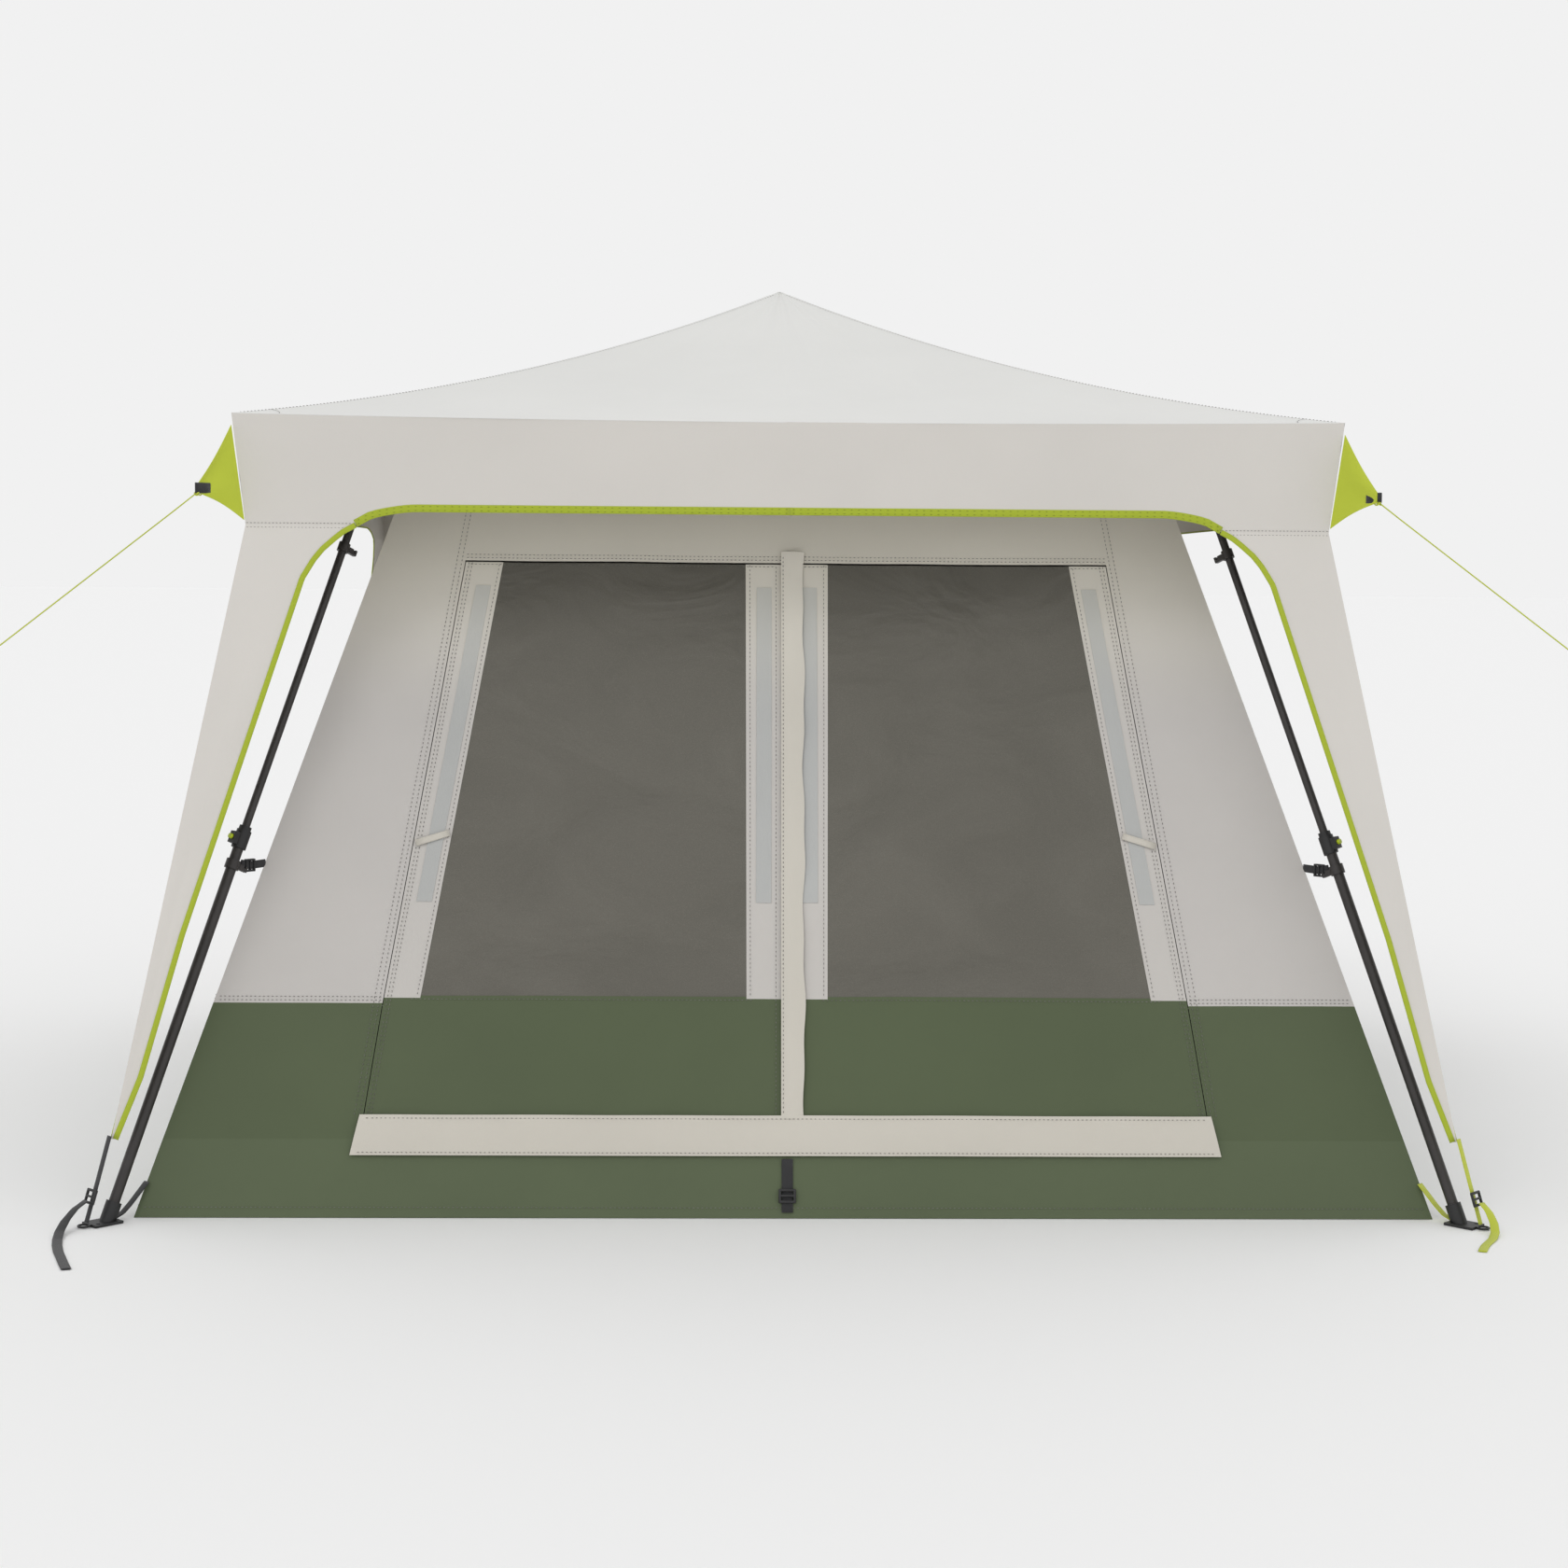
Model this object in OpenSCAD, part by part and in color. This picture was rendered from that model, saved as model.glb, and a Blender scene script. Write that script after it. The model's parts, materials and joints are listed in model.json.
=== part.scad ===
// Instant screen house: a square, pop-up shelter on four telescoping legs.
// Frame: origin on the ground at the centre, +Z up, +X to the right, the door side faces -Y.
// Corners are named fl, fr, rr and rl: front left, front right, rear right and rear left.

/* [Footprint] */
// Distance between neighbouring feet
foot_span = 3080; // [2900:10:3100]
// Inward lean of a leg along each side, per unit of height
leg_lean_side = 0.31; // [0.30:0.005:0.32]
// Height of the elbows, where the roof arms end
elbow_z = 1800; // [1780:5:1810]
// How far a leg's pivot hangs below the elbow
knee_drop = 34; // [32:1:40]

/* [Canopy] */
// Side of the square eave
eave_span = 2580; // [2540:10:2620]
// Height of the eave
eave_z = 1835; // [1825:5:1850]
// Height of the peak of the roof fabric
apex_z = 2266; // [2260:1:2275]
// Slope of the roof hips at the peak, measured along a side
hip_slope = 0.50; // [0.48:0.01:0.52]
// Height of the lower edge of the fascia
fascia_z = 1616; // [1600:2:1640]
// Height of the seam between the fascia and the corner wings
wing_seam_z = 1580; // [1574:2:1586]
// How far the fascia leans in from the eave to the wing seam
fascia_tuck = 26; // [10:1:40]
// Distance of a wing tip from the centre, along a side
wing_tip = 1530; // [1515:5:1535]
// Height of a wing tip
wing_tip_z = 190; // [170:5:210]
// Thickness of the soft panels
fabric_t = 3; // [2:0.5:4]

/* [Walls] */
// Half width of the walls at the ground
wall_half = 1488; // [1470:2:1492]
// Inward lean of the walls, per unit of height
wall_lean = 0.33; // [0.32:0.005:0.34]
// Height of the green skirt
skirt_z = 470; // [400:10:550]
// Height of the wall at its corners
wall_corner_z = 1800; // [1780:5:1810]
// Height of the wall along its middle
wall_top_z = 1890; // [1860:5:1900]
// Height of the header seam over the doors
header_z = 1500; // [1480:5:1520]
// Height of the top of the windows
window_top_z = 1490; // [1450:5:1490]
// Height of the bottom of the windows
window_low_z = 487; // [480:1:520]
// Height of the zip along the threshold
threshold_z = 170; // [150:5:200]

/* [Poles] */
// Diameter of the lower leg tube
lower_tube_d = 25; // [24:1:28]
// Diameter of the upper leg tube
upper_tube_d = 19; // [18:1:20]
// Diameter of the roof arms
arm_d = 22; // [20:1:24]
// Diameter of the eave struts
strut_d = 14; // [12:1:16]
// Wall thickness of the tubes
tube_wall = 1.5; // [1:0.5:2]
// Height of the leg lock when the leg is extended
lock_z = 850; // [800:10:860]
// Travel of a leg telescope
leg_travel = 670; // [600:10:680]
// Diameter of the hinge pins
pin_d = 8; // [6:1:9]
// Travel of a lock button
button_travel = 4; // [3:1:5]

/* [Guy lines] */
// Distance of the end of a guy tab from the centre, along a side
tab_tip = 1354; // [1340:2:1370]
// Height of the end of a guy tab
tab_tip_z = 1660; // [1640:5:1680]
// Diameter of the guy cords
cord_d = 3; // [3:0.5:4]

/* [Hidden] */
CORNERS = ["fl", "fr", "rr", "rl"];
CORNER_TURN = [225, 315, 45, 135];
SIDE_TURN = [0, 90, 180, 270];
$fn = 48;

black = [0.11, 0.11, 0.11];
pole_grey = [0.22, 0.21, 0.21];
roof_grey = [0.87, 0.88, 0.86];
fascia_grey = [0.80, 0.78, 0.76];
wall_grey = [0.72, 0.70, 0.68];
skirt_green = [0.34, 0.38, 0.28];
mesh_grey = [0.40, 0.39, 0.35];
flap_beige = [0.77, 0.75, 0.71];
lime = [0.72, 0.77, 0.22];

// Radial distances lie in the vertical plane through a corner and the centre.
diag = sqrt(2);
foot_r = foot_span / 2 * diag;
lean_r = leg_lean_side * diag;
lean_deg = atan(lean_r);
knee_z = elbow_z - knee_drop;
knee_r = foot_r - lean_r * knee_z;
knee_s = knee_z / cos(lean_deg);
lock_s = lock_z / cos(lean_deg);
elbow_r = foot_r - lean_r * elbow_z;
hub_pin_r = 42;
hub_z = 2185;
arm_rise = hub_z - elbow_z;
arm_run = elbow_r - hub_pin_r;
arm_len = sqrt(arm_rise * arm_rise + arm_run * arm_run);
arm_deg = atan(arm_rise / arm_run);
eave_half = eave_span / 2;
strut_tip_r = eave_half * diag - 22;
strut_tip_z = eave_z - 16;
hip_curve = (hip_slope * eave_half - (apex_z - eave_z)) / (eave_half * eave_half);
wall_deg = atan(wall_lean);
fascia_drop = eave_z - wing_seam_z;
fascia_deg = atan(fascia_tuck / fascia_drop);
wing_top = eave_half - fascia_tuck;
wing_rise = wing_seam_z - wing_tip_z;
wing_deg = atan((wing_tip - wing_top) / wing_rise);
pin_gap = 0.06;
cheek_in = 9;
cheek_out = 13;
eye_half = 8.5;

// The leaf seam runs from the header to the threshold in two straight stretches.
seam_low = [985, threshold_z];
seam_mid = [942, 480];
seam_top = [765, 1600];
function between(a, b, z) = a[0] + (b[0] - a[0]) * (z - a[1]) / (b[1] - a[1]);
function seam_x(z) = z < seam_mid[1] ? between(seam_low, seam_mid, z) : between(seam_mid, seam_top, z);
function up(z) = z / cos(wall_deg);
function wall_edge(z) = wall_half - wall_lean * z;
function hip_z(x) = apex_z - hip_slope * x + hip_curve * x * x;

// Places a child, drawn with +X pointing away from the centre, at a corner.
module at_corner(k) {
  rotate([0, 0, CORNER_TURN[k]]) children();
}

// Places a child at a distance s up the leg from the ground; its Z runs up the leg.
module on_leg(s) {
  translate([foot_r, 0, 0]) rotate([0, -lean_deg, 0]) translate([0, 0, s]) children();
}

// Places a child at a distance s down the roof arm from the hub pin; its Z runs to the elbow.
module on_arm(s) {
  translate([hub_pin_r, 0, hub_z]) rotate([0, 90 + arm_deg, 0]) translate([0, 0, s]) children();
}

// A cylinder across the radial plane, for eyes, pins and their bores.
module across(d, half) {
  rotate([90, 0, 0]) cylinder(d = d, h = 2 * half, center = true);
}

module tube(d, h, wall) {
  difference() {
    cylinder(d = d, h = h);
    translate([0, 0, -1]) cylinder(d = d - 2 * wall, h = h + 2);
  }
}

// An outline drawn as [x, height up the wall] becomes a leaning panel on one side.
module on_wall(side, out = 0, t = fabric_t) {
  rotate([0, 0, SIDE_TURN[side]])
    translate([0, -wall_half, 0]) rotate([90 - wall_deg, 0, 0])
      translate([0, 0, out]) linear_extrude(height = t) children();
}

// ---- Hub ----
module hub() {
  color(black) difference() {
    union() {
      translate([0, 0, hub_z - 24]) cylinder(d = 48, h = 52);
      translate([0, 0, hub_z - 62]) cylinder(d = 34, h = 38);
      translate([0, 0, hub_z - 70]) cylinder(d = 60, h = 8);
      for (k = [0:3]) at_corner(k) for (s = [-1, 1])
        translate([18, s > 0 ? cheek_in : -cheek_out, hub_z - 18]) cube([38, 4, 36]);
    }
    for (k = [0:3]) at_corner(k) translate([hub_pin_r, 0, hub_z]) across(pin_d, 20);
  }
  for (k = [0:3]) color(pole_grey) at_corner(k) translate([hub_pin_r, 0, hub_z]) across(pin_d, 15);
}

module peak_cap() {
  color(black) translate([0, 0, hub_z + 28]) rotate_extrude() {
    square([16, 22]);
    translate([0, 12]) intersection() {
      translate([0, -30]) circle(r = 58);
      square([34, 32]);
    }
  }
}

// ---- Roof ----
// One quarter of the roof, from the peak ring down to the eave, as a closed sheet.
module roof_panel(side) {
  rows = 10;
  cols = 12;
  first = 0.014;
  eave_sag = 10;
  function point(i, j, drop) =
    let (u = first + (1 - first) * i / rows, v = 2 * j / cols - 1, x = u * eave_half)
    [v * x, -x, hip_z(x) - eave_sag * u * (1 - v * v) - drop];
  n = (rows + 1) * (cols + 1);
  function at(i, j) = i * (cols + 1) + j;
  points = [for (drop = [0, fabric_t]) for (i = [0:rows]) for (j = [0:cols]) point(i, j, drop)];
  top = [for (i = [0:rows - 1]) for (j = [0:cols - 1])
    each [[at(i, j), at(i, j + 1), at(i + 1, j)], [at(i, j + 1), at(i + 1, j + 1), at(i + 1, j)]]];
  bottom = [for (f = top) [f[0] + n, f[2] + n, f[1] + n]];
  ends = [for (j = [0:cols - 1]) each [
    [at(0, j), at(0, j) + n, at(0, j + 1)], [at(0, j + 1), at(0, j) + n, at(0, j + 1) + n],
    [at(rows, j), at(rows, j + 1), at(rows, j) + n],
    [at(rows, j + 1), at(rows, j + 1) + n, at(rows, j) + n]]];
  sides = [for (i = [0:rows - 1]) each [
    [at(i, 0), at(i + 1, 0), at(i, 0) + n], [at(i + 1, 0), at(i + 1, 0) + n, at(i, 0) + n],
    [at(i, cols), at(i, cols) + n, at(i + 1, cols)],
    [at(i + 1, cols), at(i, cols) + n, at(i + 1, cols) + n]]];
  color(roof_grey) rotate([0, 0, SIDE_TURN[side]])
    polyhedron(points, concat(top, bottom, ends, sides));
}
module roof_front() { roof_panel(0); }
module roof_right() { roof_panel(1); }
module roof_rear() { roof_panel(2); }
module roof_left() { roof_panel(3); }

// The strip that hangs from the eave on each side, with a rise at its lower edge.
module fascia() {
  flat_half = 867;
  bend = [972, (fascia_z - 16 - wing_seam_z) / cos(fascia_deg)];
  step = 1010;
  hang = (eave_z - 14.5 - wing_seam_z) / cos(fascia_deg);
  lift = (fascia_z - wing_seam_z) / cos(fascia_deg);
  top = eave_half - 2;
  low = wing_top - fabric_t;
  for (side = [0:3])
    color(fascia_grey) rotate([0, 0, SIDE_TURN[side]])
      translate([0, -wing_top, wing_seam_z]) rotate([90 + fascia_deg, 0, 0])
        linear_extrude(height = fabric_t)
          polygon([[-low, 0], [-step, 0], [-bend[0], bend[1]], [-flat_half, lift],
            [flat_half, lift], bend, [step, 0], [low, 0], [top, hang], [-top, hang]]);
}

// Two tapering panels at each corner, from the fascia down to a point beside the foot.
module corner_wings() {
  run = wing_rise / cos(wing_deg);
  color(fascia_grey) for (side = [0:3])
    rotate([0, 0, SIDE_TURN[side]])
      translate([0, -wing_top, wing_seam_z]) rotate([90 - wing_deg, 0, 0])
        linear_extrude(height = fabric_t) for (s = [-1, 1])
          scale([s, 1]) polygon([[wing_top - fabric_t, -1.6], [1011, -1.6],
            [1057, -0.0216 * run], [1105, -0.0576 * run], [1130, -0.0885 * run],
            [1383, -0.6727 * run], [1468, -0.902 * run], [wing_tip - 24, -run], [wing_tip - 4, -run]]);
}

module guy_tabs() {
  corner_out = fabric_t * diag + 1;
  color(lime) for (k = [0:3]) at_corner(k)
    rotate([90, 0, 0]) linear_extrude(height = 2, center = true)
      polygon([[eave_half * diag + corner_out, eave_z - 28], [tab_tip * diag, tab_tip_z + 14],
        [tab_tip * diag, tab_tip_z - 14], [wing_top * diag + corner_out + 1, wing_seam_z + 14]]);
}

// ---- Walls ----
module wall_outline(low, high) {
  polygon([[-wall_edge(low), up(low)], [wall_edge(low), up(low)],
    [wall_edge(high), up(high)], [-wall_edge(high), up(high)]]);
}

module upper_wall_outline() {
  gable = 800;
  polygon([[-wall_edge(skirt_z), up(skirt_z)], [wall_edge(skirt_z), up(skirt_z)],
    [wall_edge(wall_corner_z), up(wall_corner_z)], [gable, up(wall_top_z)],
    [-gable, up(wall_top_z)], [-wall_edge(wall_corner_z), up(wall_corner_z)]]);
}

// One window on the right of the wall's centre line; grow widens it for its hole.
module window_outline(grow) {
  offset(delta = grow) polygon([[95, up(window_low_z)], [855, up(window_low_z)],
    [690, up(window_top_z)], [100, up(window_top_z)]]);
}

module both_sides() {
  children();
  mirror([1, 0]) children();
}

module plain_wall(side) {
  color(wall_grey) on_wall(side) difference() {
    upper_wall_outline();
    both_sides() window_outline(0.5);
  }
}

// The outline of the opening that both door leaves fill.
module doorway_outline() {
  polygon([[-seam_x(threshold_z), up(threshold_z)], [seam_x(threshold_z), up(threshold_z)],
    [seam_x(480), up(480)], [seam_x(header_z), up(header_z)],
    [-seam_x(header_z), up(header_z)], [-seam_x(480), up(480)]]);
}

module wall_front() {
  color(wall_grey) on_wall(0) difference() {
    upper_wall_outline();
    doorway_outline();
  }
}
module wall_right() { plain_wall(1); }
module wall_rear() { plain_wall(2); }
module wall_left() { plain_wall(3); }

module skirt() {
  color(skirt_green) {
    on_wall(0) difference() {
      wall_outline(0, skirt_z);
      doorway_outline();
    }
    for (side = [1:3]) on_wall(side) wall_outline(0, skirt_z);
  }
}

module window_mesh() {
  color(mesh_grey) for (side = [1:3])
    on_wall(side, 0.5, fabric_t - 1) both_sides() window_outline(0);
}

// ---- Doors ----
// The right leaf's outline, clear of the seam, the header and the middle by small gaps.
module leaf_outline() {
  seam_gap = 2;
  top = header_z - 4;
  low = threshold_z + 4;
  polygon([[3, up(low)], [seam_x(low) - seam_gap, up(low)], [seam_x(480) - seam_gap, up(480)],
    [seam_x(top) - seam_gap, up(top)], [3, up(top)]]);
}

module door_leaf() {
  color(wall_grey) on_wall(0) difference() {
    leaf_outline();
    window_outline(0.5);
  }
}

module door_right() { door_leaf(); }
module door_left() { mirror([1, 0, 0]) door_leaf(); }
module door_right_mesh() {
  color(mesh_grey) on_wall(0, 0.5, fabric_t - 1) window_outline(0);
}
module door_left_mesh() { mirror([1, 0, 0]) door_right_mesh(); }

// The cover over the centre zip is sewn to the left leaf and laps over the right one.
module zip_flap() {
  color(flap_beige) on_wall(0, fabric_t + 7, 2)
    polygon([[-14, up(222)], [38, up(222)], [38, up(header_z - 8)], [-14, up(header_z - 8)]]);
}

module bottom_flap() {
  color(flap_beige) on_wall(0, fabric_t + 7, 2)
    polygon([[-1005, up(131)], [1005, up(131)], [seam_x(215), up(215)], [-seam_x(215), up(215)]]);
}

// Webbing and its buckle under the middle of the threshold.
module centre_strap() {
  color(black) {
    on_wall(0, fabric_t + 0.5, 2)
      translate([-14, up(10)]) square([28, 116]);
    on_wall(0, fabric_t + 2.5, 8) difference() {
      translate([-17, up(34)]) square([34, 26]);
      translate([-11, up(34) + 6]) square([22, 4]);
      translate([-11, up(34) + 15]) square([22, 4]);
    }
  }
}

module zip_slider_centre() {
  color(black) {
    on_wall(0, fabric_t + 0.5, 4) translate([2, up(228)]) square([12, 16]);
    on_wall(0, fabric_t + 1.5, 2) translate([4, up(228) + 16.5]) square([8, 30]);
  }
}
module bottom_slider() {
  color(black) {
    on_wall(0, fabric_t + 0.5, 4) translate([60, up(178)]) square([16, 12]);
    on_wall(0, fabric_t + 1.5, 2) translate([76.5, up(180)]) square([30, 8]);
  }
}
module zip_slider_right() { bottom_slider(); }
module zip_slider_left() { mirror([1, 0, 0]) bottom_slider(); }

// ---- Roof arms and elbows ----
module roof_arm(k) {
  start = 30;
  color(pole_grey) at_corner(k) difference() {
    union() {
      on_arm(start) cylinder(d = arm_d, h = arm_len - start - 52);
      on_arm(2) cylinder(d = 14, h = start + 6);
      translate([hub_pin_r, 0, hub_z]) across(24, eye_half);
    }
    translate([hub_pin_r, 0, hub_z]) across(pin_d + 2 * pin_gap, 20);
  }
}

// The casting on the arm's end holds the leg's eye, its pin and the eave strut.
module elbow(k) {
  color(black) at_corner(k) {
    difference() {
      union() {
        on_arm(arm_len - 88) tube(arm_d + 7, 36, 3.4);
        on_arm(arm_len - 51.9) cylinder(d = arm_d + 7, h = 24);
        for (s = [-1, 1]) {
          hull() {
            translate([knee_r, s * 15.5, knee_z]) rotate([90, 0, 0]) cylinder(d = 34, h = 5, center = true);
            translate([elbow_r, s * 15.5, elbow_z]) rotate([90, 0, 0]) cylinder(d = 36, h = 5, center = true);
          }
          translate([elbow_r, s * 15.5, elbow_z]) rotate([0, arm_deg, 0]) translate([-18, 0, 0])
            cube([44, 5, 30], center = true);
        }
        translate([knee_r, 0, knee_z]) across(pin_d, 15.5);
        translate([elbow_r, 0, elbow_z + 24]) cube([60, 36, 12], center = true);
      }
    }
  }
  color(pole_grey) at_corner(k) eave_strut();
}

// The strut carries the canopy's corner and ends in a round tip.
module eave_strut() {
  start_r = elbow_r + 30.05;
  start_z = elbow_z + 24;
  run = strut_tip_r - start_r;
  rise = strut_tip_z - start_z;
  translate([start_r, 0, start_z]) rotate([0, 90 - atan(rise / run), 0])
    cylinder(d = strut_d, h = sqrt(run * run + rise * rise));
}

// ---- Legs ----
module upper_leg(k) {
  overlap = 60;
  top = 34;
  length = knee_s - lock_s + overlap - top;
  color(pole_grey) at_corner(k) difference() {
    union() {
      on_leg(lock_s - overlap) cylinder(d = upper_tube_d, h = length);
      on_leg(knee_s) translate([0, 0, -24]) cube([18, 22, 26], center = true);
      translate([knee_r, 0, knee_z]) across(24, 11);
    }
    translate([knee_r, 0, knee_z]) across(pin_d + 2 * pin_gap, 20);
  }
  color(black) at_corner(k) on_leg(clip_s) clip(upper_tube_d);
}
clip_s = 1530 / cos(lean_deg);

// A band round a tube with a small hook on the side that faces the walls.
module clip(d) {
  difference() {
    union() {
      cylinder(d = d + 9, h = 22, center = true);
      translate([-d / 2 - 14, 0, 0]) cube([28, 12, 14], center = true);
    }
    cylinder(d = d, h = 30, center = true);
    translate([-d / 2 - 20, 0, 3]) cube([6, 14, 10], center = true);
  }
}

module lower_leg(k) {
  start = 30;
  clip_drop = 66;
  color(pole_grey) at_corner(k) on_leg(start) tube(lower_tube_d, lock_s - start, 2.9);
  color(black) at_corner(k) on_leg(lock_s - clip_drop) clip(lower_tube_d);
}

module lock_collar(k) {
  color(black) at_corner(k) on_leg(lock_s) difference() {
    union() {
      translate([0, 0, -26]) cylinder(d = lower_tube_d + 10, h = 44);
      translate([0, 0, 18]) cylinder(d = upper_tube_d + 10, h = 10);
      translate([17, 0, -6]) cube([22, 20, 28], center = true);
    }
    translate([0, 0, -27]) cylinder(d = lower_tube_d, h = 27);
    translate([0, 0, -1]) cylinder(d = upper_tube_d + 1, h = 40);
    translate([16, 0, -6]) rotate([0, 90, 0]) cylinder(d = 13, h = 20);
  }
}

module lock_button(k) {
  color(lime) at_corner(k) on_leg(lock_s) translate([20.5, 0, -6]) rotate([0, 90, 0]) {
    cylinder(d = 12, h = 14);
  }
}

// A slanted socket on a flat plate, with a stake hole and a ring for the webbing.
module foot(k) {
  plate_t = 6;
  color(black) at_corner(k) difference() {
    union() {
      intersection() {
        on_leg(-20) cylinder(d = 36, h = 70);
        translate([foot_r - 100, -50, 0]) cube([200, 100, 90]);
      }
      translate([foot_r - 26, -28, 0]) cube([72, 56, plate_t]);
      translate([foot_r + 58, 0, 3.5]) rotate_extrude() translate([13, 0]) circle(d = 5);
    }
    on_leg(30) cylinder(d = lower_tube_d, h = 40);
    translate([foot_r + 32, 16, -1]) cylinder(d = 10, h = plate_t + 2);
  }
}

// ---- Cords ----
// The route's points are chosen by hand, for the front right corner; the left mirrors it.
guy_route = [[1356, -1356, 1650], [1400, -1400, 1607], [1450, -1450, 1559], [1500, -1500, 1511],
  [1550, -1550, 1463], [1600, -1600, 1415], [1650, -1650, 1367], [1700, -1700, 1319],
  [1745, -1745, 1276]];
tail_route_fr = [[1577, -1577, 60], [1589, -1595, 44], [1594, -1619, 24], [1589, -1647, 9],
  [1575, -1677, 3], [1558, -1705, 2], [1543, -1731, 2], [1530, -1760, 2], [1520, -1785, 2]];
tail_route_fl = [[-1577, -1577, 60], [-1597, -1597, 46], [-1612, -1622, 26], [-1617, -1655, 10],
  [-1611, -1700, 3], [-1599, -1750, 2], [-1584, -1800, 2], [-1566, -1850, 2], [-1548, -1900, 2],
  [-1531, -1945, 2]];

function unit(v) = v / norm(v);
function heading(p, i) = unit(p[min(i + 1, len(p) - 1)] - p[max(i - 1, 0)]);

// Sweeps an oval of the given width and height, width lying level, along the points of a route.
module sweep(route, width, height, sides = 8) {
  n = len(route);
  points = [for (i = [0:n - 1])
    let (h = heading(route, i), w = unit(cross(h, [0, 0, 1])), u = cross(w, h))
    for (a = [0:sides - 1])
      route[i] + w * cos(360 * a / sides) * width / 2 + u * sin(360 * a / sides) * height / 2];
  skin = [for (i = [0:n - 2]) for (a = [0:sides - 1])
    let (b = (a + 1) % sides, p = i * sides, q = p + sides)
    each [[p + a, q + a, p + b], [p + b, q + a, q + b]]];
  caps = [[for (a = [0:sides - 1]) a], [for (a = [sides - 1:-1:0]) (n - 1) * sides + a]];
  polyhedron(points, concat(skin, caps));
}

module guy_cord_fr() { color(lime) sweep(guy_route, cord_d, cord_d); }
module guy_cord_fl() { color(lime) sweep([for (p = guy_route) [-p[0], p[1], p[2]]], cord_d, cord_d); }
// Taut webbing from each wing tip down to the foot's ring.
strap_route = [[2171.5, 0, 188], [2200, 0, 99], [2229, 0, 14]];
module foot_straps() {
  for (k = [0:3]) color(k == 1 ? lime : black) at_corner(k) sweep(strap_route, 18, 3);
}
module strap_tail_fr() { color(lime) sweep(tail_route_fr, 20, 3); }
module strap_tail_fl() { color(black) sweep(tail_route_fl, 22, 3); }

hub();
peak_cap();
roof_front();
roof_right();
roof_rear();
roof_left();
fascia();
corner_wings();
guy_tabs();
wall_front();
wall_right();
wall_rear();
wall_left();
skirt();
window_mesh();
bottom_flap();
centre_strap();
door_left();
door_left_mesh();
zip_flap();
door_right();
door_right_mesh();
zip_slider_centre();
zip_slider_left();
zip_slider_right();
guy_cord_fl();
guy_cord_fr();
foot_straps();
strap_tail_fl();
strap_tail_fr();
for (k = [0:3]) {
  roof_arm(k);
  elbow(k);
  upper_leg(k);
  lower_leg(k);
  lock_collar(k);
  lock_button(k);
  foot(k);
}
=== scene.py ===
"""The screen house's looks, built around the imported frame. Metres, +Z up, the door faces -Y."""
import json
import math

import bmesh
import bpy
from mathutils import Matrix, Vector, noise


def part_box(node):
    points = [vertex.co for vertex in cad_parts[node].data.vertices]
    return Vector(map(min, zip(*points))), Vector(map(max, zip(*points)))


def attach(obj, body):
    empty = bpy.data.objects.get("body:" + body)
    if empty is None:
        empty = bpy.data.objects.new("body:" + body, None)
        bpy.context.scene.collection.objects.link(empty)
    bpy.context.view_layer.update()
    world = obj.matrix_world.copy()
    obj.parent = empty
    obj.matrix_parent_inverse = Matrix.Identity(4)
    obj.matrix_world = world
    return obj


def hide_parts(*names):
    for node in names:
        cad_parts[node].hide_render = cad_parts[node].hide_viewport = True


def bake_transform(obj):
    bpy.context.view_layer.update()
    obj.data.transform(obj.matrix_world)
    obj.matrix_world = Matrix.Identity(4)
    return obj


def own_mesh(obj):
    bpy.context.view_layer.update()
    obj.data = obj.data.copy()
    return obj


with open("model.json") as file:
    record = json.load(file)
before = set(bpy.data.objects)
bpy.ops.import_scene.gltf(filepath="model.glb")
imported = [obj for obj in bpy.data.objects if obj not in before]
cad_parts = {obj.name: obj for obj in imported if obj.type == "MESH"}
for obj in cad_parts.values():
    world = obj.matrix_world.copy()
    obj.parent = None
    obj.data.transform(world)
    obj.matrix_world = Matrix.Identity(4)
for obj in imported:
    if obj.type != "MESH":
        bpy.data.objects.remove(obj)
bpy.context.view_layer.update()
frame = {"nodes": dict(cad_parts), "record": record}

# ---- Places taken from the frame ----
CORNERS = ("fl", "fr", "rr", "rl")
AZIMUTH = (225, 315, 45, 135)
CLOTH = 0.003                                  # thickness of the CAD panels


def top_of(node):
    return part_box(node)[1]


def low_of(node):
    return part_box(node)[0]


SKIRT_Z = low_of("wall_front").z
CLOTH_REACH = CLOTH * math.cos(math.atan(0.33))  # a panel's thickness, measured level
WALL_HALF = top_of("skirt").x - CLOTH_REACH
LEAN = (WALL_HALF - (top_of("wall_right").x - CLOTH_REACH)) / SKIRT_Z
BETA = math.atan(LEAN)
EAVE = top_of("roof_front").x
EAVE_Z = top_of("fascia").z + 0.0145
APEX_Z = top_of("roof_front").z + 0.007
SEAM_Z = low_of("fascia").z
TIP_Z = low_of("corner_wings").z
TIP = top_of("corner_wings").x - CLOTH
WING_TOP = EAVE - 0.026
THRESHOLD = low_of("door_left").z - 0.004
HEADER = top_of("door_left").z + 0.004
WINDOW_LOW = low_of("door_left_mesh").z
WINDOW_TOP = top_of("door_left_mesh").z
FLAP_LOW, FLAP_TOP = low_of("bottom_flap").z, top_of("bottom_flap").z
WALL_TOP = top_of("wall_front").z
FASCIA_Z = SEAM_Z + 0.036
DIAGONAL = math.sqrt(2)                        # from a side distance to a corner distance
GROUND = [m["pos_m"][0] for m in frame["record"]["mounts"] if m["name"] == "ground_fr"][0]
FOOT = GROUND - 0.04 / DIAGONAL                # where the leg's line meets the ground
LEG_LEAN = 0.31
PEAK_SLOPE = 0.50
DOOR_HALF = 0.985                              # half the door's width at the threshold
DOOR_SEAM = ((DOOR_HALF, THRESHOLD), (0.942, 0.480), (0.765, 1.600))   # [x, z] down to up
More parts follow.
